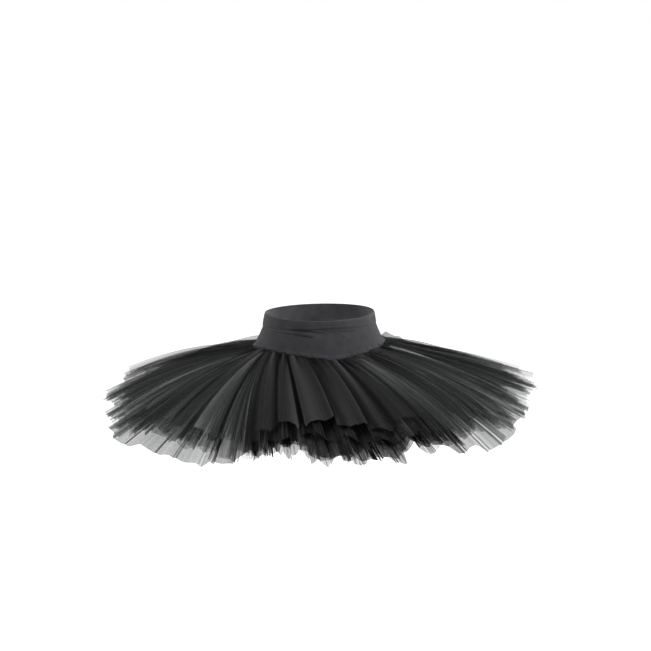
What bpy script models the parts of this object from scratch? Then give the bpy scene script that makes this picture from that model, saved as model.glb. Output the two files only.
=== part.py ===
"""Ballet practice tutu: stretch basque on a hip base, with gathered tiers of net.

Metres.  +Z is up, the front faces -Y, and +X is the wearer's left.  The origin is the
centre of the waist, half way up the waistband at the hips.  A point on the garment is
given by its turn, the angle from the centre front, growing towards +X.
"""

from math import cos, pi, radians, sin

import bmesh
import bpy
import numpy as np
from mathutils import Vector

# ---------------------------------------------------------------- driving sizes

# The hip, as the garment's cloth goes round it.
HIP = {
    "height": (0.020, -0.016, -0.036, -0.058, -0.090, -0.140),
    "half_width": (0.1218, 0.1283, 0.1370, 0.1487, 0.1550, 0.1620),
    "half_depth": (0.0950, 0.0995, 0.1055, 0.1135, 0.1195, 0.1250),
}

# Heights of the waistband's two edges and of the basque's hem, from front to back.
EDGES = {
    "turn": (0, 12, 25, 50, 75, 107, 145, 180),
    "band_top": (0.0100, 0.0102, 0.0105, 0.0120, 0.0145, 0.0160, 0.0160, 0.0160),
    "band_seam": (-0.0090, -0.0092, -0.0098, -0.0120, -0.0148, -0.0160, -0.0150, -0.0140),
    "basque_hem": (-0.0730, -0.0680, -0.0635, -0.0555, -0.0535, -0.0595, -0.0660, -0.0680),
}
EDGE_EASE = 5  # degrees either side over which an edge's corners are rounded

SEAM_GAP = 0.0003
KNIT = 0.0012
NET = 0.0010

# The waistband's section: out from its middle and up from its seam, as shares.
BAND_THICKNESS = 0.0030
BAND_SECTION = {
    "out": (0.80, 1.00, 1.00, 0.55, -0.55, -1.00, -1.00, -0.80),
    "up": (0.00, 0.10, 0.88, 1.00, 1.00, 0.88, 0.10, 0.00),
}
BAND_COLUMNS = 64

BASQUE_COLUMNS = 30
BASQUE_ROWS = 4

BASE_TUCK = 0.012  # how far the hip base runs up behind the basque
BASE_INSET = 0.0008  # from the basque's inside to the hip base
BASE_HEM = -0.135
BASE_COLUMNS = 60

# One row for each gathered tier, from the top.  The seam is measured down from the
# basque's hem.  The slopes are the net's mean fall, in degrees, on each side, and the
# depths are its cut width at the front and back, and at the sides.
TIERS = {
    "name": ("top_tier", "net_tier_1", "net_tier_2", "net_tier_3", "net_tier_4", "net_tier_5"),
    "seam": (0.0026, 0.0106, 0.0186, 0.0266, 0.0346, 0.0426),
    "end_depth": (0.295, 0.350, 0.352, 0.350, 0.347, 0.342),
    "side_depth": (0.335, 0.352, 0.353, 0.348, 0.338, 0.328),
    "side_slope": (13.6, 15.4, 17.3, 19.3, 21.4, 23.6),
    "front_slope": (13.8, 15.6, 15.9, 16.2, 16.5, 16.8),
    "back_slope": (12.5, 14.4, 16.4, 18.5, 20.7, 23.0),
    "fold_size": (0.6, 1.0, 1.0, 1.0, 1.0, 1.0),
    "shift": (0.4, 0.4, 0.6, 0.8, 1.0, 1.2),
}
FULL_DEPTH = 0.350  # the depth of net over which folds and waves reach their full size
TIER_BEND = radians(10)  # the net leaves its seam flatter, and its hem hangs steeper
FOLDS = 33  # round each tier
TIER_ROWS = 3
COLUMNS_A_FOLD = 4
TIER_GAP = 0.00045  # from the hip base to a tier's gathered edge

FOLD_AT_SEAM = 0.0010
FOLD_FULL = 0.0120
WAVE_FULL = 0.0150
TILT_FULL = 0.0080  # the wearer's left side stands higher
SWAY_FULL = 0.0080
RAGGED_HEM = 0.030  # share of a tier's depth

# Long waves that all the tiers share, so that they nest.
WAVES = {
    "count": (4, 7, 11),
    "size": (0.30, 0.35, 0.35),
    "shift": (0.6, 2.1, 4.0),
}

CHARCOAL_KNIT = (0.045, 0.045, 0.047)
BLACK_NET = (0.020, 0.023, 0.022)
SOFT_NET = (0.033, 0.033, 0.033)


# ---------------------------------------------------------------- the garment's lines

def edge(turn, name):
    """Height of a waistband or basque edge at a turn, in radians."""
    around = abs((np.degrees(turn) + 180) % 360 - 180)
    near = (around - EDGE_EASE, around, around + EDGE_EASE)
    return float(np.mean(np.interp(np.abs(near), EDGES["turn"], EDGES[name])))


def hip_point(turn, height, out):
    """A point at a turn and height, moved out from the hip's line, square to it."""
    falling = [-value for value in HIP["height"]]
    half_width = np.interp(-height, falling, HIP["half_width"])
    half_depth = np.interp(-height, falling, HIP["half_depth"])
    outward = Vector((sin(turn) / half_width, -cos(turn) / half_depth, 0)).normalized()
    return Vector((half_width * sin(turn), -half_depth * cos(turn), height)) + out * outward


def outward_at(turn, height):
    """Unit vector square to the hip's line."""
    return (hip_point(turn, height, 1.0) - hip_point(turn, height, 0.0)).normalized()


# ---------------------------------------------------------------- cloth

def clear_scene():
    for thing in list(bpy.data.objects):
        bpy.data.objects.remove(thing, do_unlink=True)


def cloth_material(name, colour, roughness):
    material = bpy.data.materials.new(name)
    material.use_nodes = True
    shader = material.node_tree.nodes["Principled BSDF"]
    shader.inputs["Base Color"].default_value = (*colour, 1)
    shader.inputs["Roughness"].default_value = roughness
    shader.inputs["Metallic"].default_value = 0
    return material


def wrap(name, columns, rows, place, colour, roughness=0.9):
    """A flat strip of cloth, put round the hip.

    place(along, down) gives the point for a place on the strip, both from 0 to 1.
    Edges of the strip that come together are joined.
    """
    strip = bmesh.new()
    bmesh.ops.create_grid(strip, x_segments=columns, y_segments=rows, size=0.5)
    for vertex in strip.verts:
        vertex.co = place(vertex.co.x + 0.5, 0.5 - vertex.co.y)
    bmesh.ops.remove_doubles(strip, verts=strip.verts, dist=1e-5)
    bmesh.ops.recalc_face_normals(strip, faces=strip.faces)
    mesh = bpy.data.meshes.new(name)
    strip.to_mesh(mesh)
    strip.free()
    mesh.shade_smooth()
    mesh.materials.append(cloth_material(name, colour, roughness))
    piece = bpy.data.objects.new(name, mesh)
    bpy.context.collection.objects.link(piece)
    return piece


def thicken(piece, thickness):
    """Give a strip its wall, half to each side."""
    wall = piece.modifiers.new("wall", "SOLIDIFY")
    wall.thickness = thickness
    wall.offset = 0
    wall.use_even_offset = True


# ---------------------------------------------------------------- waistband

def make_waistband():
    """A folded casing round wide elastic, standing a little proud of the basque."""
    corners = len(BAND_SECTION["out"])

    def place(along, down):
        turn = 2 * pi * along
        corner = round(down * corners) % corners
        seam = edge(turn, "band_seam")
        height = seam + BAND_SECTION["up"][corner] * (edge(turn, "band_top") - seam)
        middle = KNIT / 2
        return hip_point(turn, height, middle + BAND_SECTION["out"][corner] * BAND_THICKNESS / 2)

    return wrap("waistband", BAND_COLUMNS, corners, place, CHARCOAL_KNIT)


# ---------------------------------------------------------------- basque

def make_basque(name, first_turn, last_turn):
    """One half of the basque, from side seam to side seam."""
    def place(along, down):
        turn = first_turn + along * (last_turn - first_turn)
        inset = SEAM_GAP / 2 / HIP["half_depth"][2]
        turn = min(max(turn, first_turn + inset), last_turn - inset)
        top = edge(turn, "band_seam") - SEAM_GAP
        height = top + down * (edge(turn, "basque_hem") - top)
        return hip_point(turn, height, KNIT / 2)

    thicken(wrap(name, BASQUE_COLUMNS, BASQUE_ROWS, place, CHARCOAL_KNIT), KNIT)


# ---------------------------------------------------------------- hip base

def make_hip_base():
    """The plain knit tube that carries the tiers, tucked up behind the basque."""
    lines = len(TIERS["seam"])

    def place(along, down):
        turn = 2 * pi * along
        hem = edge(turn, "basque_hem")
        line = round(down * (lines + 1))
        heights = [hem + BASE_TUCK] + [hem - seam for seam in TIERS["seam"]] + [BASE_HEM]
        return hip_point(turn, heights[line], -BASE_INSET - KNIT / 2)

    thicken(wrap("hip_base", BASE_COLUMNS, lines + 1, place, CHARCOAL_KNIT), KNIT)


# ---------------------------------------------------------------- tiers

def fold_phase(turn, shift):
    """The folds' phase, which runs a little fast and slow so that their widths vary."""
    return FOLDS * turn + 1.1 * np.sin(3 * turn + shift) + 0.7 * np.sin(8 * turn + 2 * shift)


def long_wave(turn):
    parts = zip(WAVES["count"], WAVES["size"], WAVES["shift"])
    return sum(size * cos(count * turn + shift) for count, size, shift in parts)


def tier_point(row, turn, down):
    """A point on a tier, down from its seam as a share of its depth."""
    shift = TIERS["shift"][row]
    side = TIERS["side_slope"][row]
    end = TIERS["front_slope" if cos(turn) > 0 else "back_slope"][row]
    towards_end = cos(turn) ** 4
    start = radians(side + (end - side) * towards_end) - TIER_BEND
    bend = 2 * TIER_BEND
    ragged = RAGGED_HEM * sin(17 * turn + 9 * shift) * cos(6 * turn + 5 * shift)
    side_depth = TIERS["side_depth"][row]
    depth = side_depth + (TIERS["end_depth"][row] - side_depth) * towards_end
    depth *= 1 + ragged * down
    reach = depth * (sin(start + bend * down) - sin(start)) / bend
    fall = depth * (cos(start) - cos(start + bend * down)) / bend

    fold_size = TIERS["fold_size"][row] * (0.78 + 0.22 * cos(5 * turn + 1.7 * shift))
    fold = fold_size * cos(fold_phase(turn, shift))
    grown = down * depth / FULL_DEPTH
    lift = fold * (FOLD_AT_SEAM + (FOLD_FULL - FOLD_AT_SEAM) * grown)
    lift += (long_wave(turn) * WAVE_FULL + sin(turn) * TILT_FULL) * grown
    sway = SWAY_FULL * sin(6 * turn + 0.8) * grown * grown

    seam = edge(turn, "basque_hem") - TIERS["seam"][row]
    slope = start + bend * down
    outward = outward_at(turn, seam)
    along = Vector((-outward.y, outward.x, 0))
    point = hip_point(turn, seam, TIER_GAP - BASE_INSET)
    if down == 0:
        return hip_point(turn, seam + fold * FOLD_AT_SEAM, TIER_GAP - BASE_INSET)
    point += outward * (reach + lift * sin(slope)) + along * sway
    point.z += lift * cos(slope) - fall
    return point


def make_tier(row):
    """A strip of net gathered onto the hip base, with a column on each fold's crest."""
    columns = FOLDS * COLUMNS_A_FOLD
    turns = np.linspace(0, 2 * pi, 4001)
    phases = fold_phase(turns, TIERS["shift"][row])
    first_crest = np.ceil(phases[0] / (2 * pi)) * 2 * pi

    def place(along, down):
        column = round(along * columns) % columns
        phase = first_crest + column * 2 * pi / COLUMNS_A_FOLD
        if phase > phases[-1]:
            phase -= 2 * pi * FOLDS
        return tier_point(row, float(np.interp(phase, phases, turns)), down)

    colour = SOFT_NET if row == 0 else BLACK_NET
    thicken(wrap(TIERS["name"][row], columns, TIER_ROWS, place, colour), NET)


# ---------------------------------------------------------------- the whole tutu

clear_scene()
make_waistband()
make_basque("basque_front", -pi / 2, pi / 2)
make_basque("basque_back", pi / 2, 3 * pi / 2)
make_hip_base()
for tier in range(len(TIERS["name"])):
    make_tier(tier)
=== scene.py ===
"""Ballet practice tutu: knit basque on a hip base, with gathered tiers of black net."""

from math import cos, pi, radians, sin

import bmesh
import bpy
import numpy as np
from mathutils import Matrix, Vector


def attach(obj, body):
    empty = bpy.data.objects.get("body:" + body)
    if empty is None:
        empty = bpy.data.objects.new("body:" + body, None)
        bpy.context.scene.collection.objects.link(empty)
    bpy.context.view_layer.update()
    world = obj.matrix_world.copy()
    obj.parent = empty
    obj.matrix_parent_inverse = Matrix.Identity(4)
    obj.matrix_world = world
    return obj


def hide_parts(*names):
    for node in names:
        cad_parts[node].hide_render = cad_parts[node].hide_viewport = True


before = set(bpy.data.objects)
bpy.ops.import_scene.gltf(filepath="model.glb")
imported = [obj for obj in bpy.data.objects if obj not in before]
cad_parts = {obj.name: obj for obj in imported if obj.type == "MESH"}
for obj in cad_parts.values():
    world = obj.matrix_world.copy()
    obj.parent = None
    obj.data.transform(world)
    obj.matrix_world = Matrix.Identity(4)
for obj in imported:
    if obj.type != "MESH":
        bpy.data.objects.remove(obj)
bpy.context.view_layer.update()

# ---------------------------------------------------------------- waistband
# Wide elastic in a casing of charcoal jersey. The casing is one strip, folded over the
# elastic at the top, and its two raw edges are overlocked into the seam with the basque.

# The hip's line, and the heights of the edges that run round it, from front to back.
HIP = {
    "height": (0.020, -0.016, -0.036, -0.058, -0.090, -0.140),
    "half_width": (0.1218, 0.1283, 0.1370, 0.1487, 0.1550, 0.1620),
    "half_depth": (0.0950, 0.0995, 0.1055, 0.1135, 0.1195, 0.1250),
}
EDGES = {
    "turn": (0, 12, 25, 50, 75, 107, 145, 180),
    "band_top": (0.0100, 0.0102, 0.0105, 0.0120, 0.0145, 0.0160, 0.0160, 0.0160),
    "band_seam": (-0.0056, -0.0062, -0.0070, -0.0088, -0.0108, -0.0130, -0.0138, -0.0140),
    "basque_hem": (-0.0730, -0.0680, -0.0635, -0.0555, -0.0535, -0.0595, -0.0660, -0.0680),
}
EDGE_EASE = 5  # degrees each side over which an edge's corners are rounded
KNIT = 0.0012


def degrees_from(turn, centre=0):
    """Degrees round from a centre, from -180 on the wearer's right to 180 on the left."""
    return (np.degrees(turn) - centre + 180) % 360 - 180


def bump(away, width):
    """1 in the middle, falling to nearly 0 at twice the width away."""
    return np.exp(-(away / width) ** 2)


def edge(turn, name):
    """Height of a band or basque edge at turns from the centre front, in radians."""
    around = np.abs(degrees_from(turn))
    steps = [np.abs(around + ease) for ease in (-EDGE_EASE, 0, EDGE_EASE)]
    return np.mean([np.interp(step, EDGES["turn"], EDGES[name]) for step in steps], axis=0)


def hip_line(turn, height):
    """The hip's point at each turn and height, and the direction square to it."""
    falling = -np.array(HIP["height"])
    half_width = np.interp(-height, falling, HIP["half_width"])
    half_depth = np.interp(-height, falling, HIP["half_depth"])
    point = np.stack([half_width * np.sin(turn), -half_depth * np.cos(turn), height], axis=-1)
    out = np.stack([np.sin(turn) / half_width, -np.cos(turn) / half_depth, 0 * turn], axis=-1)
    return point, out / np.linalg.norm(out, axis=-1, keepdims=True)


def off_hip(turn, height, out):
    """Points that stand out from the hip's line."""
    point, square = hip_line(turn, height)
    return point + square * np.asarray(out)[..., None]


def cut_strip(name, columns, rows, width, depth):
    """A flat strip of cloth, with its cut size in metres as its UV map.

    Gives the piece and how far each point lies along it and down it, from 0 to 1.
    """
    strip = bmesh.new()
    strip.loops.layers.uv.new("cut")
    bmesh.ops.create_grid(strip, x_segments=columns, y_segments=rows, size=0.5, calc_uvs=True)
    flat = strip.loops.layers.uv["cut"]
    for face in strip.faces:
        for corner in face.loops:
            place = corner.vert.co
            corner[flat].uv = ((place.x + 0.5) * width, (0.5 - place.y) * depth)
    mesh = bpy.data.meshes.new(name)
    strip.to_mesh(mesh)
    strip.free()
    piece = bpy.data.objects.new(name, mesh)
    bpy.context.collection.objects.link(piece)
    flat_points = np.empty(len(mesh.vertices) * 3)
    mesh.vertices.foreach_get("co", flat_points)
    flat_points = flat_points.reshape(-1, 3)
    return piece, flat_points[:, 0] + 0.5, 0.5 - flat_points[:, 1]


ENDS_MEET = 0.00001


def put_on(piece, points, joined=True, crease_angle=180):
    """Moves a strip's points to where they are worn, and joins its ends round the back."""
    mesh = piece.data
    mesh.vertices.foreach_set("co", np.asarray(points, dtype=np.float32).ravel())
    worn = bmesh.new()
    worn.from_mesh(mesh)
    if joined:
        bmesh.ops.remove_doubles(worn, verts=worn.verts, dist=ENDS_MEET)
    worn.to_mesh(mesh)
    worn.free()
    mesh.shade_smooth()
    if crease_angle < 180:
        mesh.set_sharp_from_angle(angle=radians(crease_angle))
    mesh.update()


def keep(piece, name, values):
    """Keeps a number for each point of a piece, for its material to read."""
    layer = piece.data.attributes.new(name, "FLOAT", "POINT")
    layer.data.foreach_set("value", np.asarray(values, dtype=np.float32))


def give_wall(piece, thickness, offset):
    """Gives a strip the cloth's own thickness: to the outside at 1, to the inside at -1."""
    wall = piece.modifiers.new("cloth", "SOLIDIFY")
    wall.thickness = thickness
    wall.offset = offset


def rgb(code):
    """An sRGB hex colour as the linear numbers that a shader takes."""
    shares = [int(code[place:place + 2], 16) / 255 for place in (1, 3, 5)]
    linear = [share / 12.92 if share <= 0.04045 else ((share + 0.055) / 1.055) ** 2.4 for share in shares]
    return (*linear, 1)


def add(tree, kind, settings=None, **links):
    """Adds a node with its settings and inputs: a value, or another node's output.

    An input goes by its name, with _ for a space, or by i and its number.
    """
    node = tree.nodes.new(kind)
    for name, value in (settings or {}).items():
        setattr(node, name, value)
    for name, value in links.items():
        place = int(name[1:]) if name[1:].isdigit() else name.replace("_", " ")
        if isinstance(value, bpy.types.NodeSocket):
            tree.links.new(value, node.inputs[place])
        else:
            node.inputs[place].default_value = value
    return node


def start_material(name):
    """An empty Principled material: its node tree and its shader."""
    material = bpy.data.materials.new(name)
    material.use_nodes = True
    tree = material.node_tree
    return material, tree, tree.nodes["Principled BSDF"]


# Cotton and elastane single jersey, brushed soft: fine upright wales with a matt, slightly
# furry face, paler where it is stretched thin or rubbed. That reads as a flat, dusty black.
JERSEY_WALE = 0.0011  # drawn twice as coarse as knitted, to show at all
JERSEY_WEAR = 1 / 28  # a paler or darker patch is about 36 mm across
JERSEY_PILE = 1 / 900  # and a tuft of the brushed face about 1.1 mm
# The third colour is the painted shade in folds and along seams.
JERSEY_DARK, JERSEY_LIGHT, JERSEY_PAINTED_SHADE = "#232225", "#343236", "#0C0C0D"


def charcoal_jersey():
    """Jersey, painted darker as shade where a piece's mark for painted shade is near 1."""
    material, tree, shader = start_material("charcoal_jersey")
    cut = add(tree, "ShaderNodeUVMap", {"uv_map": "cut"}).outputs[0]
    split = add(tree, "ShaderNodeSeparateXYZ", i0=cut)
    wales = add(tree, "ShaderNodeMath", {"operation": "MULTIPLY"}, i0=split.outputs[0],
                i1=2 * pi / JERSEY_WALE)
    courses = add(tree, "ShaderNodeMath", {"operation": "MULTIPLY"}, i0=split.outputs[1],
                  i1=2 * pi / JERSEY_WALE)
    across = add(tree, "ShaderNodeMath", {"operation": "SINE"}, i0=wales.outputs[0])
    slant = add(tree, "ShaderNodeMath", {"operation": "MULTIPLY_ADD"}, i0=across.outputs[0], i1=1.2,
                i2=courses.outputs[0])
    up = add(tree, "ShaderNodeMath", {"operation": "SINE"}, i0=slant.outputs[0])
    stitch = add(tree, "ShaderNodeMath", {"operation": "MULTIPLY_ADD"}, i0=up.outputs[0], i1=0.5,
                 i2=across.outputs[0])
    place = add(tree, "ShaderNodeTexCoord").outputs["Object"]
    shade = add(tree, "ShaderNodeTexNoise", Vector=place, Scale=1 / JERSEY_WEAR, Detail=5, Roughness=0.6)
    pile = add(tree, "ShaderNodeTexNoise", Vector=place, Scale=1 / JERSEY_PILE, Detail=2, Roughness=0.7)
    tone = add(tree, "ShaderNodeMath", {"operation": "MULTIPLY_ADD"}, i0=pile.outputs[0], i1=0.35,
               i2=shade.outputs[0])
    tint = add(tree, "ShaderNodeMapRange", Value=tone.outputs[0], From_Min=0.45, From_Max=0.9)
    flat = add(tree, "ShaderNodeMix", {"data_type": "RGBA"}, i0=tint.outputs[0], i6=rgb(JERSEY_DARK),
               i7=rgb(JERSEY_LIGHT))
    # Painted shade: the colour darkens towards the bottom of a fold, and wherever a piece marks shade.
    painted_shade = add(tree, "ShaderNodeAttribute", {"attribute_name": "painted_shade"}).outputs["Fac"]
    colour = add(tree, "ShaderNodeMix", {"data_type": "RGBA"}, i0=painted_shade, i6=flat.outputs[2],
                 i7=rgb(JERSEY_PAINTED_SHADE))
    face = add(tree, "ShaderNodeMath", {"operation": "MULTIPLY_ADD"}, i0=pile.outputs[0], i1=1.2,
               i2=stitch.outputs[0])
    bumps = add(tree, "ShaderNodeBump", Strength=0.35, Distance=0.0004, Height=face.outputs[0])
    tree.links.new(colour.outputs[2], shader.inputs["Base Color"])
    tree.links.new(bumps.outputs[0], shader.inputs["Normal"])
    shader.inputs["Roughness"].default_value = 0.92
    shader.inputs["Specular IOR Level"].default_value = 0.25
    shader.inputs["Sheen Weight"].default_value = 0.25
    shader.inputs["Sheen Roughness"].default_value = 0.45
    return material


JERSEY = charcoal_jersey()

BAND_CUT = (0.700, 0.062)
BAND_THICKNESS = 0.0030
CASING_WALL = 0.0007
CASING_PUFF = 0.0005
CASING_RIPPLE = 0.0003
DRAG_DEPTH = 0.0006
FOLD_OVER = 0.08  # of the strip, each side of its middle, goes round over the elastic
# Shares of the band's height: where it starts to turn over, what the turn adds, where the
# drag line lies, how far that wanders and its half-width, and how far up from the seam the painted shade
# reaches.
FOLD_STARTS, FOLD_RISE = 0.92, 0.05
DRAG_AT, DRAG_WANDERS, DRAG_HALF = 0.50, 0.14, 0.07
SEAM_SHADE_REACH = 0.07


def make_waistband():
    band, along, down = cut_strip("waistband_casing", 360, 40, *BAND_CUT)
    turn = 2 * pi * along + pi
    seam, top = edge(turn, "band_seam"), edge(turn, "band_top")
    # Up the outside, over the fold and down the inside.
    over = np.clip((down - 0.5) / FOLD_OVER, -1, 1)
    share = 1 - np.abs(down - 0.5) * 2
    rise = np.clip(share / FOLD_STARTS, 0, 1)
    fold = np.cos(over * pi / 2)
    height = seam + (top - seam) * (rise * (1 - FOLD_RISE) + FOLD_RISE * fold)
    # Soft ripples where the elastic gathers the casing a little, and a drag line along it.
    outside = down < 0.5
    puff = CASING_PUFF * np.sin(pi * rise) * outside
    ripple = CASING_RIPPLE * np.sin(13 * turn + 2 * np.sin(5 * turn)) * np.sin(pi * rise) * outside
    drag = bump(rise - DRAG_AT - DRAG_WANDERS * np.sin(3 * turn), DRAG_HALF) * outside
    drag = drag * (0.6 + 0.4 * np.sin(2 * turn + 1))
    out = KNIT / 2 - np.sin(over * pi / 2) * (BAND_THICKNESS / 2 - CASING_WALL / 2)
    out = out + puff + ripple - DRAG_DEPTH * drag
    # Painted shade in the drag line and along the seam at the band's foot.
    keep(band, "painted_shade", 0.25 * drag + 0.4 * np.exp(-rise / SEAM_SHADE_REACH) * outside)
    put_on(band, off_hip(turn, height, out))
    give_wall(band, CASING_WALL, 0)
    band.data.materials.append(JERSEY)
    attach(band, "root")
    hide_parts("waistband")


make_waistband()

# ---------------------------------------------------------------- basque
# Front and back of the same jersey, stretched smooth over the hip and seamed at the
# sides. The hem dips to a point at the centre front, and is turned and stitched.

BASQUE_CUT = (0.405, 0.066)
SIDE_SEAM_GAP = 0.0008  # radians that each half stands clear of the side seam
BAND_SEAM_GAP = 0.0003

# What happens down the basque: a share of the way down, and over what share.
HEM_TURNING = (0.90, 0.008)
HEM_FLICKS_FROM = 0.84
STRETCH_CREASES = (0.80, 0.12)
HEM_STITCH_ROWS, STITCH_ROW = (0.895, 0.945), 0.006
BAND_TUCK = 0.035

# How far the basque stands out or in for each.
TURNING_STANDS = 0.0005
STITCHES_DRAW_IN = 0.00025
TUCKS_IN = 0.0010
CREASES_STAND = 0.00012
HEM_FLICK, HEM_FLICK_UNEVEN = 0.0018, 0.0009
HEM_PUSHED_UP = 0.0014
# Past this depth a fold's painted shade is no darker.
FOLD_FULLY_SHADED = 0.0011  # and past it no fold looks darker
# Where the painted shade along the seam eases off, and over how many degrees.
SEAM_SHADE_ENDS, SEAM_SHADE_FADES = 8, 6  # degrees round from the centre front

# Soft folds in the front: each one's line as turns in degrees and heights in millimetres,
# then its width, and how far it stands out, or in where it is below nought.
FRONT_FOLDS = (
    (((-90, -10.8), (-64, -9.2), (-43, -9.8), (-25, -11.9), (-8, -16.6)), 0.0017, -0.0018),
    (((-88, -14.1), (-50, -12.2), (-27, -17.9), (-18, -20.0)), 0.0018, 0.0018),
    (((-90, -17.6), (-64, -15.2), (-49, -15.6), (-36, -19.4), (-20, -25.5)), 0.0019, -0.0016),
    (((-2, -13.8), (9, -15.6), (24, -15.4)), 0.0015, -0.0011),
    (((2, -14.0), (6, -17.0), (15.5, -29.5), (19, -34.0)), 0.0026, 0.0008),
    (((45, -17.0), (84, -19.5)), 0.0030, 0.0006),
    (((-84, -47.0), (-64, -52.0)), 0.0022, 0.0010),
)


def fold_relief(turn, height, folds):
    """How far a table's folds move the cloth in or out at each point."""
    relief = np.zeros_like(height)
    for line, width, stands in folds:
        turns, heights = np.array(line).T
        share = (degrees_from(turn) - turns[0]) / (turns[-1] - turns[0])
        ends = np.sin(pi * np.clip(share, 0, 1)) ** 0.3
        away = height - np.interp(degrees_from(turn), turns, heights) / 1000
        relief += stands * ends * bump(away, width)
    return relief


def gather_push(turn):
    """How hard the gathers under the hem push it, here and there."""
    finest = 0.6 * np.sin(67 * turn + 1) * np.sin(5 * turn)
    return 0.5 * np.sin(23 * turn) + 0.4 * np.sin(41 * turn + 2) + finest


def hem_flick(turn, down):
    """How far the hem flicks out over the net."""
    share = np.clip(down - HEM_FLICKS_FROM, 0, 1) / (1 - HEM_FLICKS_FROM)
    return (HEM_FLICK + HEM_FLICK_UNEVEN * gather_push(turn)) * share ** 2


def make_basque(name, first_turn, last_turn, node, folds):
    half, along, down = cut_strip(name, 240, 80, *BASQUE_CUT)
    turn = first_turn + SIDE_SEAM_GAP + along * (last_turn - first_turn - 2 * SIDE_SEAM_GAP)
    top = edge(turn, "band_seam") - BAND_SEAM_GAP
    hem = edge(turn, "basque_hem") + HEM_PUSHED_UP * gather_push(turn)
    height = top + down * (hem - top)
    folded = fold_relief(turn, height, folds)
    # The hem's turning is twice as thick.
    turned = 1 / (1 + np.exp(-(down - HEM_TURNING[0]) / HEM_TURNING[1]))
    out = folded + TURNING_STANDS * turned + hem_flick(turn, down)
    # Rows of stitches draw it in, and it dives in under the waistband's edge.
    needles = sum(bump(down - row, STITCH_ROW) for row in HEM_STITCH_ROWS)
    tucked = np.exp(-down / BAND_TUCK)
    out -= STITCHES_DRAW_IN * needles + TUCKS_IN * tucked
    # Fine upright stretch creases above the hem.
    stretch = np.sin(90 * turn + 3 * np.sin(7 * turn)) * np.sin(31 * turn + 1)
    out += CREASES_STAND * stretch * bump(down - STRETCH_CREASES[0], STRETCH_CREASES[1])
    # Painted shade in the folds that stand in, along the seam under the waistband, darker on the wearer's
    # right than on the left, and along the rows of stitches.
    seam_shade = 0.45 + 0.55 / (1 + np.exp((np.degrees(turn) - SEAM_SHADE_ENDS) / SEAM_SHADE_FADES))
    keep(half, "painted_shade", np.clip(-folded / FOLD_FULLY_SHADED + seam_shade * tucked + 0.2 * needles, 0, 1))
    put_on(half, off_hip(turn, height, out), joined=False)
    give_wall(half, KNIT, 1)
    half.data.materials.append(JERSEY)
    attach(half, "root")
    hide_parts(node)


BACK_FOLDS = (
    (((100, -23.0), (165, -25.0)), 0.0016, 0.0013),
    (((120, -26.2), (172, -29.0)), 0.0012, -0.0011),
    (((-175, -23.0), (-105, -24.0)), 0.0016, -0.0010),
)
make_basque("basque_front_jersey", -pi / 2, pi / 2, "basque_front", FRONT_FOLDS)
make_basque("basque_back_jersey", pi / 2, 3 * pi / 2, "basque_back", BACK_FOLDS)

# The hem's two rows of twin-needle stitches, one small rounded bar for each stitch.
# Spun polyester thread: black, with the slight shine of its twist.
STITCH = 0.0028
STITCH_SHOWS = 0.84  # the share of a stitch between its two needle holes that lies on top
THREAD = 0.00022
THREAD_SPREADS = 1.3  # how much wider than it is thick a sewn thread lies
THREAD_TWIST = 1 / 900  # drawn coarser than spun, to show at all
THREAD_LIES_OFF = 0.0003
HEM_LENGTH = 0.885
THREAD_GREY = "#3C3A3E"


def polyester_thread():
    material, tree, shader = start_material("black_polyester_thread")
    place = add(tree, "ShaderNodeTexCoord").outputs["Object"]
    twist = add(tree, "ShaderNodeTexWave", Vector=place, Scale=1 / THREAD_TWIST, Distortion=2)
    bumps = add(tree, "ShaderNodeBump", Strength=0.4, Distance=0.0001, Height=twist.outputs["Fac"])
    tree.links.new(bumps.outputs[0], shader.inputs["Normal"])
    shader.inputs["Base Color"].default_value = rgb(THREAD_GREY)
    shader.inputs["Roughness"].default_value = 0.45
    return material


THREAD_BLACK = polyester_thread()


def sew(name, points, square, slot):
    """A row of stitches, one from each point to nearly the next."""
    sewing = bmesh.new()
    for point, after, out in zip(points[:-1], points[1:], square[:-1]):
        along = Vector(after - point)
        side = Vector(out).cross(along).normalized()
        middle = Vector((point + after) / 2)
        turned = Matrix((along.normalized(), side, Vector(out))).transposed().to_4x4()
        half_length = along.length * STITCH_SHOWS / 2
        sized = Matrix.Diagonal((half_length, THREAD * THREAD_SPREADS, THREAD, 1))
        bmesh.ops.create_uvsphere(sewing, u_segments=6, v_segments=4, radius=1,
                                  matrix=Matrix.Translation(middle) @ turned @ sized)
    mesh = bpy.data.meshes.new(name)
    sewing.to_mesh(mesh)
    sewing.free()
    mesh.shade_smooth()
    mesh.materials.append(THREAD_BLACK)
    stitches = bpy.data.objects.new(name, mesh)
    bpy.context.collection.objects.link(stitches)
    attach(stitches, "root")


def hem_row(down):
    """The needle holes of a row at a share of the way down the basque, all the way round."""
    turn = np.linspace(-pi, pi, round(HEM_LENGTH / STITCH))
    top = edge(turn, "band_seam")
    hem = edge(turn, "basque_hem") + HEM_PUSHED_UP * gather_push(turn)
    height = top + down * (hem - top)
    out = KNIT + THREAD_LIES_OFF + hem_flick(turn, down)
    return off_hip(turn, height, out), hip_line(turn, height)[1]


for number, row in enumerate(HEM_STITCH_ROWS, 1):
    sew("hem_stitches_" + str(number), *hem_row(row), "knit")

# ---------------------------------------------------------------- hip base
# A plain tube of the same jersey, under the net. The tiers are sewn to it one below
# another, and its top edge is caught in behind the basque's hem.

BASE_CUT = (0.960, 0.085)
BASE_HEM = -0.135
BASE_GOES_UP = 0.012  # behind the basque, from its hem
BASE_INSET = 0.0008
BASE_RIPPLE = 0.0004


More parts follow.
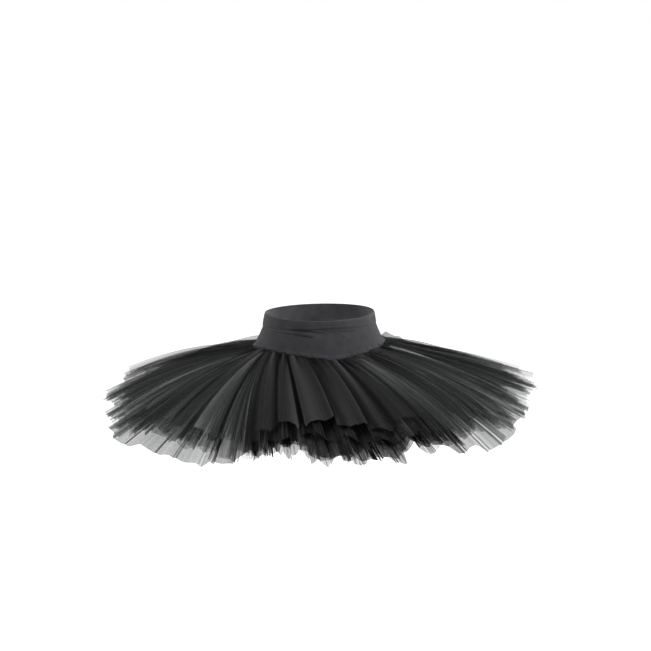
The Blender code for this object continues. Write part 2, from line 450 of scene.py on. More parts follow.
def make_hip_base():
    base, along, down = cut_strip("hip_base_jersey", 240, 16, *BASE_CUT)
    turn = 2 * pi * along + pi
    top = edge(turn, "basque_hem") + BASE_GOES_UP
    height = top + down * (BASE_HEM - top)
    out = -BASE_INSET - KNIT / 2 + BASE_RIPPLE * np.sin(60 * turn) * np.sin(pi * down)
    put_on(base, off_hip(turn, height, out))
    give_wall(base, KNIT, 0)
    base.data.materials.append(JERSEY)
    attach(base, "root")
    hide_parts("hip_base")


make_hip_base()

# ---------------------------------------------------------------- net tiers
# Six strips of net, each gathered to about a third of its length and zigzagged to the hip
# base. The five below are stiff nylon net; the top one is softer, closer and shorter.
# The cut edges are left raw.

# Each tier from the top: the length of its strip, how far its seam is below the basque's
# hem, its depth at the centre front and back and then at the sides, how steeply it falls at
# the sides, front and back in degrees, and how big its folds are. Its shift sets its waves
# off from the next tier's.
TIERS = {
    "name": ("top_tier", "net_tier_1", "net_tier_2", "net_tier_3", "net_tier_4", "net_tier_5"),
    "cut_length": (2.2, 3.0, 3.0, 3.0, 3.0, 2.8),
    "seam": (0.0026, 0.0106, 0.0186, 0.0266, 0.0346, 0.0426),
    "end_depth": (0.295, 0.350, 0.352, 0.350, 0.347, 0.342),
    "side_depth": (0.335, 0.352, 0.353, 0.348, 0.338, 0.328),
    "side_slope": (13.6, 15.4, 17.3, 19.3, 21.4, 23.6),
    "front_slope": (13.8, 15.6, 15.9, 16.2, 16.5, 16.8),
    "back_slope": (12.5, 14.4, 16.4, 18.5, 20.7, 23.0),
    "fold_size": (0.6, 1.0, 1.0, 1.0, 1.0, 1.0),
    "shift": (0.4, 0.4, 0.6, 0.8, 1.0, 1.2),
}
FULL_DEPTH = 0.350
FIRST_SEED = 40
TIER_GAP = 0.00045
TIER_BEND = radians(10)  # half of how far a tier curves down from its seam to its hem
STRAIGHT_AT, STRAIGHT_ROUND, STRAIGHTER = 88, 34, 0.6  # where, in degrees, it curves less
FOLDS = 33
FOLD_AT_SEAM, FOLD_FULL, FOLD_UNEVEN = 0.0010, 0.0120, 0.22
PLEAT_SHARP = 0.97
WAVE_FULL, TILT_FULL, SWAY_FULL = 0.0150, 0.0080, 0.0080
WAVES = {"count": (4, 7, 11), "size": (0.30, 0.35, 0.35), "shift": (0.6, 2.1, 4.0)}
RAGGED_HEM = 0.030

# The net lies in flat panels, each tipped a little and cut straight, parted by bunches of
# tight creases that fold over one another. All sizes are at the hem.
HEM_ROUND = 2.93
CREASE_WIDTH = (0.0015, 0.0055)
CREASE_HEIGHT = (0.004, 0.012)
CREASE_SHIFT = 0.009
CREASE_AT_SEAM = 0.08  # of its height at the hem
PANEL_TIP = 0.0065
PANEL_STEP = 0.0015  # from the last crease of a bunch to the panel
CREASE_ANGLE = 40  # degrees, past which a fold looks sharp
COLUMNS_A_CREASE = 5
TIER_ROWS = 40

# Each tier's panels, the most creases in a bunch, how unevenly panels and creases end, how
# much shorter it ends than it was cut, and the share of the light that one thickness
# stops: on a panel, in a bunch, at the seam, and how much more round the front. Then how
# streaky its panels are and how frayed its hem is, next to its bunches.
HEMS = {
    "narrowest": (0.030, 0.022, 0.010, 0.010, 0.010, 0.070),
    "widest": (0.110, 0.085, 0.045, 0.042, 0.048, 0.150),
    "creases": (4, 4, 6, 6, 6, 2),
    "panel_reach": (0.010, 0.013, 0.014, 0.014, 0.014, 0.007),
    "crease_reach": (0.004, 0.007, 0.011, 0.011, 0.011, 0.003),
    "shorter": (0, 0.008, 0.018, 0.010, 0.012, 0),
    "panel": (0.20, 0.27, 0.34, 0.34, 0.34, 0.68),
    "bunch": (0.42, 0.60, 0.74, 0.74, 0.74, 0.50),
    "at_seam": (0.50, 0.85, 0.85, 0.85, 0.85, 0.85),
    "front": (0.55, 0.40, 0.50, 0.50, 0.50, 0.25),
    "streaky": (1, 0.8, 1, 1, 1, 0.15),
    "frayed": (0, 0.8, 1, 1, 1, 0.35),
}

# How far round the seam the net starts from where it would if it hung straight out. The
# net at the front hangs more side by side than spread.
LEAN = {
    "turn": (-180, -120, -90, -60, -41, -30, -22, -13, -2, 8, 20, 45, 70, 110, 150, 180),
    "degrees": (0, 3, -3, -12, -22, -23, -20, -12, -6, -2, 1, 6, 2, -4, 3, 0),
}
LEAN_UNEVEN = 2.5  # degrees

# Gathers at the seam, from coarse to fine, and how far down the net each dies away.
GATHERS = {
    "width": (0.021, 0.008, 0.0045),
    "height": (0.0085, 0.0040, 0.0016),
    "dies_over": (0.34, 0.25, 0.13),
}
SEAM_LENGTH = 0.86
GATHER_UNEVEN = 0.3
GATHER_AT_SEAM, GATHER_FULL_BY = 0.15, 0.05

# Puffs of the top tier that stand up behind the basque: the turn and its width in
# degrees, how high it stands, and how far down the net it is.
PUFFS = ((112, 6, 0.014, 0.12), (106, 3, 0.008, 0.20), (-133, 5, 0.009, 0.08))
PUFF_DEPTH = 0.04

# The soft net's large folds at the front, corner by corner: turn in degrees, how far it
# stands up and how far its hem comes down in millimetres, how closely it is bunched, and
# the painted light on it, or painted shade below nought.
SOFT_FOLDS = (
    (-46, 0, 0, 0, 0), (-41, 3, 0, 0, 0), (-37, -5, 6, 0.6, -0.2),
    (-34, 2, 14, 1, -0.05), (-31.2, -4, 23, 1, 0), (-29.1, -7, -4, 1, -0.1),
    (-28.4, 2, -8, 1, 0.3), (-25.3, 5, -7, 1, 0.15),
    (-23.8, 9, 22, 1, -0.15), (-23.3, 12, 51, 1, -0.5),
    (-22.2, -6, 13, 1, -0.65), (-21.3, -7, 2, 1, -0.4),
    (-21, 1, 40, 1, 0.25), (-20.6, 1, 38, 1, 0.1), (-20.1, 2, 36, 1, -0.25),
    (-18.6, 3, 27, 1, -0.35), (-16.2, 5, 15, 1, -0.55), (-13.2, 8, 0, 1, -0.7),
    (-12.4, 9, -6, 1, 0.1), (-11.3, -7, -24, 1, -0.1), (-11.5, -8, -4, 1, -0.2),
    (-11.9, -3, 14, 1, 0.3), (-11.4, -2, 18, 1, 0.1), (-11, -1, 21, 1, -0.5),
    (-9.6, 2, 31, 1, -0.85), (-6.7, 5, 5, 1, -0.55), (-4.7, 8, 3, 1, -0.35),
    (-3.9, 9, 13, 1, -0.2), (-2.7, -8, -2, 1, -0.3), (-2.9, -7, 20, 1, 0.3),
    (-2.5, -6, 21, 1, 0.1), (-2, -5, 22, 1, -0.5), (-0.3, -1, 27, 1, -0.37),
    (3.2, -4, 18, 1, -0.3), (5, -6, 0, 1, -0.2),
    (5.7, 0, -7, 0.9, 0.2), (9.6, 2, 5, 0.6, -0.2), (15.8, -3, 6, 0.3, 0), (22.7, 0, -1, 0, 0),
)

# Where the lower hems part or end short: the turn and width in degrees, and how much
# shorter each tier is there.
SPLITS = (
    (9, 2.5, (0, 0.013, 0.032, 0.045, 0.045, 0)),
    (-28, 5, (0, 0, 0.008, 0.012, 0.012, 0)),
    (36, 12, (0, 0, 0.016, 0.016, 0.020, 0)),
    (-70, 20, (0, 0.004, 0.022, 0.022, 0.026, 0)),
    (84, 26, (0.014, 0, 0, 0, 0, 0)),
    (78, 16, (0, 0, 0.012, 0, 0.050, 0)),
    (-106, 20, (0, 0, 0.045, 0, 0.040, 0)),
    (150, 3, (0, 0.012, 0.028, 0.040, 0.040, 0)),
    (-128, 4, (0, 0.010, 0.024, 0.035, 0.035, 0)),
)

# Where the upper net sinks towards the net below: the turn and width in degrees, and how
# far each tier does at its hem.
SINKS = (
    (92, 26, (0.024, 0.011, 0.004, 0, 0, 0)),
    (-117, 20, (0.017, 0.008, 0.003, 0, 0, 0)),
)

# Panels listed one by one: the tier, then each corner's turn in degrees, its reach in
# millimetres, and how closely the net is bunched there.
OWN_HEMS = (
    (1, ((-121, -24, 0), (-108, 3, 0), (-104, -8, 1), (-96, -15, 0), (-87, -15, 0))),
    (1, ((56, -20, 0), (65, -17, 0), (72, -9, 0), (80, 0, 0), (87, -12, 0), (100, -15, 0))),
    (2, ((54, -28, 0), (63, -15, 0), (70, -12, 1), (77, -22, 0))),
    (3, ((-112, -14, 0), (-103, 4, 0), (-95, 3, 0), (-90, 9, 1), (-85, 9, 0), (-80, -6, 1),
         (-75, 12, 0))),
    (3, ((44, -4, 0), (49, 10, 1), (54, -5, 0), (65, -7, 1), (74, -2, 0), (82, -16, 0))),
    (5, ((-113, 12, 0), (-100, 20, 0), (-87, 13, 0), (-82, 5, 0), (-70, -2, 0), (-62, 13, 0),
         (-53, 11, 0), (-51, -15, 0), (-44, -6, 0), (-38.7, -62, 0), (-35, -36, 1), (-31, -16, 1),
         (-28, -34, 1), (-25, -21, 1), (-22.5, -32, 1), (-20.3, 7, 1), (-18, -12, 1),
         (-15.3, 16, 1), (-13, -8, 1), (-11.4, 6, 1), (-9, -14, 1), (-6.7, 4, 1), (-4, -18, 1),
         (-0.6, 2, 0), (2, -14, 1), (4.6, 12, 1), (7, -34, 1), (11, -65, 0), (17, -35, 0),
         (28, 8, 0), (37, 18, 0), (41, 18, 0), (46, 5, 0), (60, -4, 0), (73, 4, 0), (84, -8, 0))),
)
# The creases at each of those corners, on a panel and then where it is bunched: the most of
# them, how unevenly they end in millimetres, and how closely they bunch.
OWN_CREASES = {"most": (2, 4), "uneven": (2, 6), "bunched": (0.4, 1)}
OWN_CREASE_WIDTH = 0.6  # of the other creases'

# Round the front the net is bunched more closely and painted darker: the soft tier's
# middle and half-width there in degrees, and the other tiers'. The tier under the soft one lies flatter
# there.
FRONT_AT, FRONT_ROUND = (-13, -6), (22, 31)
UNDER_SOFT_FLATTER = 0.7

# Every tier but the lowest is thinner towards its hem here, in degrees, by this share.
THIN_AT, THIN_ROUND, THINNER = 58, 36, 0.40
COVER_UNEVEN = 0.04
FRAYS_FROM = 0.86  # down the net

# Painted light on the net, or painted shade below nought, from each cause; the creases' share is uneven
# tone at random.
# From a painted valley to a painted lit crest is 2.
PAINTED_LIGHT = {
    "fold": 0.25, "long_panel": 0.25, "gather": 1.6, "puff": 0.3, "seam": -0.1, "front_seam": -0.5,
    "soft_crease": 0.012, "stiff_crease": 0.08, "hem": 0.2, "bunch": -0.15, "front_hem": -1.6,
}
# A crease this high and a panel this much longer get their full painted light; lower and shorter ones are
# painted darker.
HIGH_CREASE, LONG_PANEL = 0.012, 0.013


def fold_phase(turn, shift):
    """Where each turn falls in the folds, which are unevenly spaced."""
    return FOLDS * turn + 1.1 * np.sin(3 * turn + shift) + 0.7 * np.sin(8 * turn + 2 * shift)


def long_wave(turn):
    """The skirt's slow rise and fall on its way round."""
    parts = zip(WAVES["count"], WAVES["size"], WAVES["shift"])
    return sum(size * np.cos(count * turn + shift) for count, size, shift in parts)


def pleat(phase):
    """A wave with nearly flat sides and narrow crests."""
    return np.arcsin(PLEAT_SHARP * np.cos(phase)) / np.arcsin(PLEAT_SHARP)


def creased_hem(chance, row):
    """The hem's corners, from the back round to the back again.

    Each has its place, its height, its chance shift and reach, how closely the net is
    bunched there, from 0 on a panel to 1, and how much painted light it has.
    """
    corners = [[0, 0, 0, 0, 0, 0]]
    while corners[-1][0] < HEM_ROUND:
        reach = chance.normal(0, HEMS["panel_reach"][row]) - HEMS["shorter"][row]
        width = chance.uniform(HEMS["narrowest"][row], HEMS["widest"][row])
        for step in (PANEL_STEP, width):
            place = corners[-1][0] + step
            shift = chance.normal(0, CREASE_SHIFT)
            corners.append([place, chance.normal(0, PANEL_TIP), shift, reach, 0, 0])
        way = chance.choice((-1, 1))
        for crease in range(chance.integers(1, HEMS["creases"][row] + 1)):
            place = corners[-1][0] + chance.uniform(*CREASE_WIDTH)
            height = way * chance.uniform(*CREASE_HEIGHT) / 2
            shift = chance.normal(0, CREASE_SHIFT)
            end = reach + chance.normal(0, HEMS["crease_reach"][row])
            corners.append([place, height, shift, end, 1, 0])
            way = -way
    corners = np.array(corners)
    corners[:, 0] *= HEM_ROUND / corners[-1, 0]
    corners[-1, 1:] = corners[0, 1:]
    return corners


def swap(corners, own):
    """Swaps the corners along part of the hem for others."""
    outside = (corners[:, 0] < own[0, 0]) | (corners[:, 0] > own[-1, 0])
    kept = corners[outside]
    before = kept[:, 0] < own[0, 0]
    return np.concatenate([kept[before], own, kept[~before]])


def hem_place(turn):
    """How far along the hem a turn in degrees is."""
    return (np.array(turn) + 180) / 360 * HEM_ROUND


def with_soft_folds(corners):
    """Swaps in the soft net's large folds."""
    turn, height, reach, bunched, light = np.array(SOFT_FOLDS).T
    own = (hem_place(turn), height / 1000, 0 * turn, reach / 1000, bunched, light)
    return swap(corners, np.stack(own, axis=-1))


def with_own_hem(corners, chance, own):
    """Swaps in listed panels, each ended by a few tight creases."""
    placed = []
    for turn, reach, bunched in own:
        place = hem_place(turn)
        placed.append([place, chance.normal(0, PANEL_TIP / 2), 0, reach / 1000, bunched, 0])
        way = chance.choice((-1, 1))
        for crease in range(chance.integers(1, OWN_CREASES["most"][bunched] + 1)):
            place += chance.uniform(*CREASE_WIDTH) * OWN_CREASE_WIDTH
            height = way * chance.uniform(*CREASE_HEIGHT) / 2
            end = (reach + chance.normal(0, OWN_CREASES["uneven"][bunched])) / 1000
            placed.append([place, height, 0, end, OWN_CREASES["bunched"][bunched], 0])
            way = -way
        placed.append([place + PANEL_STEP, chance.normal(0, PANEL_TIP / 2), 0, reach / 1000, bunched, 0])
    placed = np.array(placed)
    return swap(corners, placed[np.argsort(placed[:, 0], kind="stable")])


def tier_corners(row, chance):
    """A tier's corners: most by chance, and those that are listed."""
    corners = creased_hem(chance, row)
    if row == 0:
        corners = with_soft_folds(corners)
    for tier, own in OWN_HEMS:
        if tier == row:
            corners = with_own_hem(corners, chance, own)
    return corners


def lay_out(piece, corners, corner, cut_length):
    """Shares a strip's cut length out between its panels and creases, by their lengths."""
    taken = np.hypot(np.diff(corners[:, 0]), np.diff(corners[:, 1]))
    taken = np.append(0, np.cumsum(taken)) * cut_length / taken.sum()
    cloth_along = np.interp(corner, np.arange(len(corners)), taken)
    mesh = piece.data
    points = np.empty(len(mesh.loops), dtype=np.int32)
    mesh.loops.foreach_get("vertex_index", points)
    flat = np.empty(len(mesh.loops) * 2, dtype=np.float32)
    mesh.uv_layers["cut"].data.foreach_get("uv", flat)
    flat[0::2] = cloth_along[points]
    mesh.uv_layers["cut"].data.foreach_set("uv", flat)


def sizes_here(turn, table, row):
    """A tier's sizes from a table of places round the skirt, at each turn."""
    return sum(sizes[row] * bump(degrees_from(turn, centre), width) for centre, width, sizes in table)


def hang(row, turn, down, hem_reach):
    """How far out and down each point hangs from its seam, its slope, and its strip's depth.

    The net springs out and curves down as an arc.
    """
    shift, side_slope, side_depth = (TIERS[name][row] for name in ("shift", "side_slope", "side_depth"))
    towards_end = np.cos(turn) ** 4
    end_slope = np.where(np.cos(turn) > 0, TIERS["front_slope"][row], TIERS["back_slope"][row])
    half_bend = TIER_BEND * (1 - STRAIGHTER * bump(degrees_from(turn) - STRAIGHT_AT, STRAIGHT_ROUND))
    start = np.radians(side_slope + (end_slope - side_slope) * towards_end) - half_bend
    slope = start + 2 * half_bend * down
    ragged = RAGGED_HEM * np.sin(17 * turn + 9 * shift) * np.cos(6 * turn + 5 * shift)
    depth = side_depth + (TIERS["end_depth"][row] - side_depth) * towards_end
    depth = depth * (1 + ragged * down) + hem_reach * down ** 2
    reach = depth * (np.sin(slope) - np.sin(start)) / (2 * half_bend)
    fall = depth * (np.cos(start) - np.cos(slope)) / (2 * half_bend)
    return reach, fall, slope, depth


def fold_lift(row, turn, grown, hem_height, hem_reach):
    """How far the folds lift each point, and the painted light and shade on it: 1 on a crest, -1 in a
    valley.
    """
    size, shift = TIERS["fold_size"][row], TIERS["shift"][row]
    uneven = 1 - FOLD_UNEVEN + FOLD_UNEVEN * np.cos(5 * turn + 1.7 * shift)
    fold = size * uneven * pleat(fold_phase(turn, shift))
    lift = fold * (FOLD_AT_SEAM + (FOLD_FULL - FOLD_AT_SEAM) * grown ** 0.75)
    lift += (long_wave(turn) * WAVE_FULL + np.sin(turn) * TILT_FULL) * grown
    lift += hem_height * (CREASE_AT_SEAM + (1 - CREASE_AT_SEAM) * grown ** 0.6)
    tone = PAINTED_LIGHT["fold"] * pleat(fold_phase(turn, shift)) * size * (0.4 + 0.6 * grown)
    tone += np.clip(hem_height / HIGH_CREASE, -1, 1) * (0.3 + 0.7 * grown ** 0.5)
    tone += PAINTED_LIGHT["long_panel"] * np.clip(hem_reach / LONG_PANEL, -1, 1)
    return lift, tone


def gather_lift(chance, around, grown):
    """How far the gathers lift each point and the painted light and shade on it, at its share of the way
    round.

    They stand up just off the seam, and die away down the net.
    """
    lift, tone = 0, 0
    for width, height, dies_over in zip(*GATHERS.values()):
        count = round(SEAM_LENGTH / width / 2) * 2
        sizes = chance.uniform(-GATHER_UNEVEN, GATHER_UNEVEN, count + 1)
        sizes[0::2] += 1 - GATHER_UNEVEN
        sizes[1::2] -= 1 - GATHER_UNEVEN
        sizes[-1] = sizes[0]
        across = np.interp(around * count, np.arange(count + 1), sizes)
        dying = np.exp(-(grown / dies_over) ** 1.5)
        lift += across * height * np.clip(grown / GATHER_FULL_BY, GATHER_AT_SEAM, 1) * dying
        tone += PAINTED_LIGHT["gather"] * across * dying * (height / GATHERS["height"][0]) ** 0.3
    return lift, tone


def puff_lift(turn, grown):
    """How far the soft net's puffs lift each point, and the painted light on it."""
    lift, tone = 0, 0
    for puff_turn, width, height, share in PUFFS:
        puff = bump(degrees_from(turn, puff_turn), width) * bump(grown - share, PUFF_DEPTH)
        lift += height * puff
        tone += PAINTED_LIGHT["puff"] * puff
    return lift, tone


def seam_start(row, turn, grown):
    """Where each point hangs out from, and the way out there.

    The net starts further round than it hangs, by its lean, and straightens as it goes.
    """
    seam = edge(turn, "basque_hem") - TIERS["seam"][row]
    point, out = hip_line(turn, seam)
    lean = np.interp(degrees_from(turn), LEAN["turn"], LEAN["degrees"])
    lean = lean + LEAN_UNEVEN * np.sin(13 * turn + 20 * TIERS["shift"][row])
    seam_turn = turn + np.radians(lean)
    start, _ = hip_line(seam_turn, edge(seam_turn, "basque_hem") - TIERS["seam"][row])
    return start + (point - start) * grown[:, None] ** 1.35, out


def keep_marks(piece, row, turn, down, front, bunched, tone, shades):
    """Keeps how the net lies at each point: its cover, its tone of painted light and shade, streaks and
    frayed threads.
    """
    panel, bunch, at_seam, more = (HEMS[name][row] for name in ("panel", "bunch", "at_seam", "front"))
    cover = panel + (bunch - panel) * bunched + (at_seam - panel) * (1 - down) ** 1.5 + more * front
    if row < len(TIERS["name"]) - 1:
        cover = cover * (1 - THINNER * bump(degrees_from(turn) - THIN_AT, THIN_ROUND) * down ** 3)
    keep(piece, "cover", np.clip(cover + COVER_UNEVEN * shades, 0, 1))
    # Painted shade at the seam, more round the front; below the soft tier, painted shade in bunches and at
    # the front's hems, and painted light towards the other hems.
    tone = tone + (PAINTED_LIGHT["seam"] + PAINTED_LIGHT["front_seam"] * front) * (1 - down) ** 4
    tone = tone + PAINTED_LIGHT["stiff_crease" if row else "soft_crease"] * shades
    if row:
        tone = tone + PAINTED_LIGHT["bunch"] * bunched
        tone = tone + (PAINTED_LIGHT["hem"] * (1 - front) + PAINTED_LIGHT["front_hem"] * front) * down ** 2
    keep(piece, "tone", np.clip(0.5 + 0.5 * tone, 0, 1))
    streaky, frayed = HEMS["streaky"][row], HEMS["frayed"][row]
    keep(piece, "streaky", streaky + (1 - streaky) * bunched)
    fraying = np.clip((down - FRAYS_FROM) / (1 - FRAYS_FROM), 0, 1)
    keep(piece, "frayed", frayed * (0.25 + 0.75 * bunched) * fraying)


def make_tier(row, material):
    name, cut_width = TIERS["name"][row], TIERS["cut_length"][row]
    cut_depth = max(TIERS["side_depth"][row], TIERS["end_depth"][row])
    chance = np.random.default_rng(FIRST_SEED + row)
    corners = tier_corners(row, chance)
    columns = (len(corners) - 1) * COLUMNS_A_CREASE
    piece, along, down = cut_strip(name + "_net", columns, TIER_ROWS, cut_width, cut_depth)
    corner = along * (len(corners) - 1)
    lay_out(piece, corners, corner, cut_width)
    place, hem_height, hem_shift, hem_reach, bunched, light = (
        np.interp(corner, np.arange(len(corners)), size) for size in corners.T)
    turn = place * 2 * pi / HEM_ROUND + pi
    front = np.exp(-((degrees_from(turn) - FRONT_AT[row > 0]) / FRONT_ROUND[row > 0]) ** 4)
    if row == 1:
        hem_height = hem_height * (1 - UNDER_SOFT_FLATTER * front)
    hem_reach = hem_reach - sizes_here(turn, SPLITS, row)
    reach, fall, slope, depth = hang(row, turn, down, hem_reach)
    # How much net there is from the seam to each point.
    grown = down * depth / FULL_DEPTH

    risen = [fold_lift(row, turn, grown, hem_height, hem_reach)]
    risen.append(gather_lift(chance, place / HEM_ROUND, grown))
    if row == 0:
        risen.append(puff_lift(turn, grown))
    lift, tone = (sum(parts) for parts in zip(*risen))
    sway = SWAY_FULL * np.sin(6 * turn + 0.8) * grown ** 2 + hem_shift * grown ** 1.2
    point, out = seam_start(row, turn, grown)
    tangent = np.stack([-out[:, 1], out[:, 0], 0 * turn], axis=-1)
    # The seam is clear of the hip base's ripples.
    near = TIER_GAP + BASE_RIPPLE - BASE_INSET + reach + lift * np.sin(slope)
    point = point + out * near[:, None] + tangent * sway[:, None]
    point[:, 2] += lift * np.cos(slope) - fall - sizes_here(turn, SINKS, row) * grown ** 1.3

    shades = chance.normal(0, 1, columns + 1)[np.rint(along * columns).astype(int)]
    # The tone carries painted light and shade, with each corner's own painted light added.
    keep_marks(piece, row, turn, down, front, bunched, tone + light, shades)
    put_on(piece, point, crease_angle=CREASE_ANGLE)
    piece.data.materials.append(material)
    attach(piece, "root")
    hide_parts(name)


# Stiff black nylon net: six-sided holes between twisted threads, see-through in one
# layer and nearly black in six, with the faint hard shine of nylon and a painted highlight along
# each crease. The soft net is closer and matt, so it looks like one smooth dark cloth. Both
# are painted lighter on crests and darker in folds.
NET_HOLE = 0.0020
HOLE_NARROWER = 0.82  # how wide a hole is across the net, next to its length
THREAD_HALF = (0.07, 0.17)  # in holes, from its middle: its solid part, and where its hole begins
# Along the net and down it: a streak is 6 x 500 mm, a line 14 mm x 1 m, a hair 2 x 330 mm.
STREAK, FOLD_LINE, HAIR = (1 / 180, 1 / 2), (1 / 70, 1), (1 / 420, 1 / 3)
LINE_HALF = (0.004, 0.022)
LINE_SHADOW = 0.06  # how far a line's shadow lies from it, in the lines' own pattern


def black_net(name, dark, light, clear, streaky, lined, roughness, shine):
    """Net whose holes are so clear, and its streaks and fold lines so strong, from 0 to 1."""
    material, tree, shader = start_material(name)
    cut = add(tree, "ShaderNodeUVMap", {"uv_map": "cut"}).outputs[0]
    stretched = add(tree, "ShaderNodeMapping", i0=cut, Scale=(1 / NET_HOLE, HOLE_NARROWER / NET_HOLE, 1))
    holes = add(tree, "ShaderNodeTexVoronoi", {"voronoi_dimensions": "2D", "feature": "DISTANCE_TO_EDGE"},
                Vector=stretched.outputs[0], Scale=1, Randomness=0.35)
    thread = add(tree, "ShaderNodeMapRange", Value=holes.outputs["Distance"], From_Min=THREAD_HALF[0],
                 From_Max=THREAD_HALF[1], To_Min=1 + clear, To_Max=1 - clear / 2)
    # Drawn threads and pressed creases run down the net, more of them where it is close.
    drawn = add(tree, "ShaderNodeMapping", i0=cut, Scale=(1 / STREAK[0], 1 / STREAK[1], 1))
    streaks = add(tree, "ShaderNodeTexNoise", {"noise_dimensions": "2D"}, Vector=drawn.outputs[0], Scale=1,
                  Detail=3, Roughness=0.65)
    streak = add(tree, "ShaderNodeMapRange", Value=streaks.outputs[0], From_Min=0.34, From_Max=0.66,
                 To_Min=-streaky, To_Max=streaky)
    cover = add(tree, "ShaderNodeAttribute", {"attribute_name": "cover"}).outputs["Fac"]
    creased = add(tree, "ShaderNodeAttribute", {"attribute_name": "streaky"}).outputs["Fac"]
    worked = add(tree, "ShaderNodeMath", {"operation": "MULTIPLY"}, i0=creased, i1=cover)
    uneven = add(tree, "ShaderNodeMath", {"operation": "MULTIPLY"}, i0=streak.outputs[0],
                 i1=worked.outputs[0])
    weight = add(tree, "ShaderNodeMath", {"operation": "MULTIPLY_ADD"}, i0=uneven.outputs[0],
                 i1=thread.outputs[0], i2=thread.outputs[0])
    # Long fine lines where it was folded on the bolt, doubled at each, with a painted highlight on each and
    # a painted shadow beside.
    folded = add(tree, "ShaderNodeMapping", i0=cut, Scale=(1 / FOLD_LINE[0], 1 / FOLD_LINE[1], 1))
    lines = add(tree, "ShaderNodeTexNoise", {"noise_dimensions": "2D"}, Vector=folded.outputs[0], Scale=1,
                Detail=1.5, Roughness=0.5)
    off_line = add(tree, "ShaderNodeMath", {"operation": "SUBTRACT"}, i0=lines.outputs[0], i1=0.5)
    distance = add(tree, "ShaderNodeMath", {"operation": "ABSOLUTE"}, i0=off_line.outputs[0])
    near = add(tree, "ShaderNodeMapRange", Value=distance.outputs[0], From_Min=LINE_HALF[0],
               From_Max=LINE_HALF[1], To_Min=lined, To_Max=0)
    line = add(tree, "ShaderNodeMath", {"operation": "MULTIPLY"}, i0=near.outputs[0], i1=creased)
    covered = add(tree, "ShaderNodeMath", {"operation": "ADD"}, i0=cover, i1=line.outputs[0])
    # The bunches come apart into hairs at the hem.
    hairs = add(tree, "ShaderNodeMapping", i0=cut, Scale=(1 / HAIR[0], 1 / HAIR[1], 1))
    hair = add(tree, "ShaderNodeTexNoise", {"noise_dimensions": "2D"}, Vector=hairs.outputs[0], Scale=1,
               Detail=1)
    frayed = add(tree, "ShaderNodeAttribute", {"attribute_name": "frayed"}).outputs["Fac"]
    gone = add(tree, "ShaderNodeMapRange", Value=hair.outputs[0], From_Min=0.46, From_Max=0.56,
               To_Min=1, To_Max=0)
    between = add(tree, "ShaderNodeMath", {"operation": "MULTIPLY"}, i0=gone.outputs[0], i1=frayed)
    left = add(tree, "ShaderNodeMath", {"operation": "SUBTRACT", "use_clamp": True}, i0=1,
               i1=between.outputs[0])
    whole = add(tree, "ShaderNodeMath", {"operation": "MULTIPLY", "use_clamp": True}, i0=weight.outputs[0],
                i1=covered.outputs[0])
    hidden = add(tree, "ShaderNodeMath", {"operation": "MULTIPLY"}, i0=whole.outputs[0], i1=left.outputs[0])
    # Painted light and shade from the tone: darker between the folds, lighter on crests, and each line has
    # a painted lit side and a painted shadow.
    tone = add(tree, "ShaderNodeAttribute", {"attribute_name": "tone"}).outputs["Fac"]
    shade = add(tree, "ShaderNodeMath", {"operation": "MULTIPLY_ADD", "use_clamp": True},
                i0=uneven.outputs[0], i1=0.4, i2=tone)
    off_shadow = add(tree, "ShaderNodeMath", {"operation": "SUBTRACT"}, i0=lines.outputs[0],
                     i1=0.5 + LINE_SHADOW)
    from_shadow = add(tree, "ShaderNodeMath", {"operation": "ABSOLUTE"}, i0=off_shadow.outputs[0])
    shadow = add(tree, "ShaderNodeMapRange", Value=from_shadow.outputs[0], From_Min=LINE_HALF[0],
                 From_Max=LINE_HALF[1], To_Min=-lined, To_Max=0)
    lit = add(tree, "ShaderNodeMath", {"operation": "ADD"}, i0=line.outputs[0], i1=shadow.outputs[0])
    crisp = add(tree, "ShaderNodeMath", {"operation": "ADD", "use_clamp": True}, i0=shade.outputs[0],
                i1=lit.outputs[0])
    bright = add(tree, "ShaderNodeMath", {"operation": "POWER"}, i0=crisp.outputs[0], i1=1.6)
    # The colour runs from dark, as painted shade, to light, as painted light, with the streaks' uneven
    # tone.
    colour = add(tree, "ShaderNodeMix", {"data_type": "RGBA"}, i0=bright.outputs[0], i6=rgb(dark),
                 i7=rgb(light))
    tree.links.new(hidden.outputs[0], shader.inputs["Alpha"])
    tree.links.new(colour.outputs[2], shader.inputs["Base Color"])
    shader.inputs["Roughness"].default_value = roughness
    shader.inputs["Specular IOR Level"].default_value = shine
    return material


# Each net's colour in painted shade and in painted light; the darker one is also the net's own black.
STIFF_SHADED, STIFF_LIT = "#0F100F", "#6F7471"
SOFT_SHADED, SOFT_LIT = "#080808", "#3A3A3B"
STIFF_NET = black_net("stiff_nylon_net", STIFF_SHADED, STIFF_LIT, clear=0.30, streaky=0.4, lined=0.35,
                      roughness=0.5, shine=0.2)
SOFT_NET = black_net("soft_close_net", SOFT_SHADED, SOFT_LIT, clear=0.10, streaky=0.06, lined=0.05,
                     roughness=0.8, shine=0.1)

make_tier(0, SOFT_NET)
for tier in range(1, len(TIERS["name"])):
    make_tier(tier, STIFF_NET)

# ---------------------------------------------------------------- studio
# A plain white sweep, lit softly from above and in front, and the camera in front of the
# tutu, a little to its right hand and a little above it.

FLOOR_HEIGHT = -1.0
IMAGE = 651
METRES_A_PIXEL = 0.00224
CAMERA_TURN, CAMERA_RISE, CAMERA_AWAY = radians(-17), radians(10.5), 3.5
WAIST_AT = (319.7, 318.0)  # the waist's centre in the picture
SENSOR = 36
FLOOR_HALF = 60


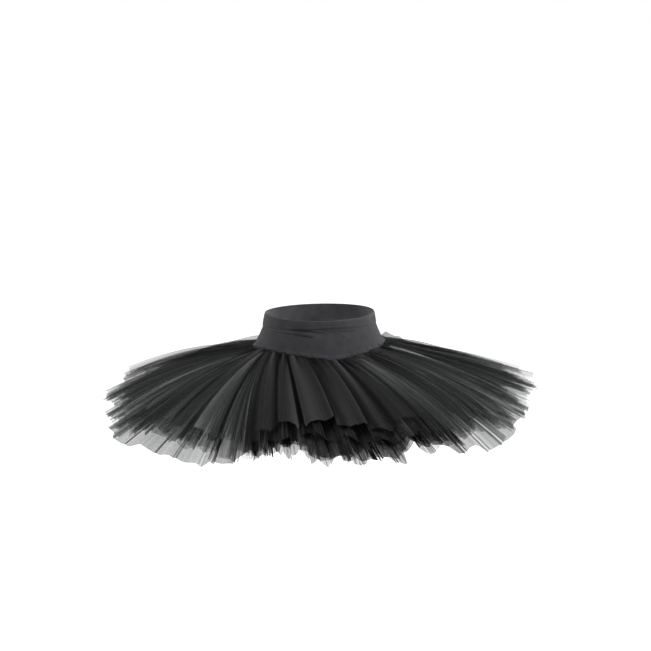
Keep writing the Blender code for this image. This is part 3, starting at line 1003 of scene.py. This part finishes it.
def make_floor():
    """Matt white paper, bright enough to show no shadow."""
    sweep = bmesh.new()
    bmesh.ops.create_grid(sweep, x_segments=1, y_segments=1, size=FLOOR_HALF)
    bmesh.ops.translate(sweep, verts=sweep.verts, vec=(0, 0, FLOOR_HEIGHT))
    mesh = bpy.data.meshes.new("floor")
    sweep.to_mesh(mesh)
    sweep.free()
    floor = bpy.data.objects.new("floor", mesh)
    bpy.context.collection.objects.link(floor)
    material, tree, shader = start_material("white_paper")
    shader.inputs["Base Color"].default_value = rgb("#FAFAFA")
    shader.inputs["Roughness"].default_value = 1
    shader.inputs["Emission Color"].default_value = (1, 1, 1, 1)
    shader.inputs["Emission Strength"].default_value = 0.8
    floor.data.materials.append(material)


def make_light(name, place, aim, size, power):
    lamp = bpy.data.lights.new(name, "AREA")
    lamp.size = size
    lamp.energy = power
    thing = bpy.data.objects.new(name, lamp)
    thing.location = place
    thing.rotation_euler = (Vector(aim) - Vector(place)).to_track_quat("-Z", "Y").to_euler()
    bpy.context.collection.objects.link(thing)


def make_camera():
    level = cos(CAMERA_RISE)
    back = Vector((sin(CAMERA_TURN) * level, -cos(CAMERA_TURN) * level, sin(CAMERA_RISE)))
    right = Vector((cos(CAMERA_TURN), sin(CAMERA_TURN), 0))
    up = back.cross(right)
    across, below = ((IMAGE / 2 - pixel) * METRES_A_PIXEL for pixel in WAIST_AT)
    aim = right * across - up * below
    camera = bpy.data.objects.new("camera", bpy.data.cameras.new("camera"))
    camera.data.sensor_width = SENSOR
    camera.data.lens = SENSOR * CAMERA_AWAY / (IMAGE * METRES_A_PIXEL)
    camera.location = aim + back * CAMERA_AWAY
    camera.rotation_euler = back.to_track_quat("Z", "Y").to_euler()
    bpy.context.collection.objects.link(camera)
    bpy.context.scene.camera = camera


make_floor()
make_light("right", (2.8, -1.2, 1.3), (0, 0, -0.1), 1.0, 130)
make_light("left", (-2.8, -1.0, 1.2), (0, 0, -0.1), 1.0, 52)
make_light("front", (0.2, -3.2, 1.2), (0, 0, -0.1), 1.6, 8)
make_light("top", (0, 0.8, 2.6), (0, 0, 0), 2.0, 15)
make_camera()

# White walls up to a dim ceiling.
world = bpy.data.worlds.new("studio")
bpy.context.scene.world = world
world.use_nodes = True
tree = world.node_tree
height = add(tree, "ShaderNodeSeparateXYZ", i0=add(tree, "ShaderNodeTexCoord").outputs["Generated"])
light = add(tree, "ShaderNodeMapRange", Value=height.outputs["Z"], From_Min=0.22, From_Max=0.45,
            To_Min=1.0, To_Max=0.25)
tree.links.new(light.outputs[0], tree.nodes["Background"].inputs["Strength"])
tree.nodes["Background"].inputs["Color"].default_value = (1, 1, 1, 1)
bpy.context.scene.view_settings.view_transform = "Standard"
bpy.context.scene.cycles.transparent_max_bounces = 24  # light goes on through all the net
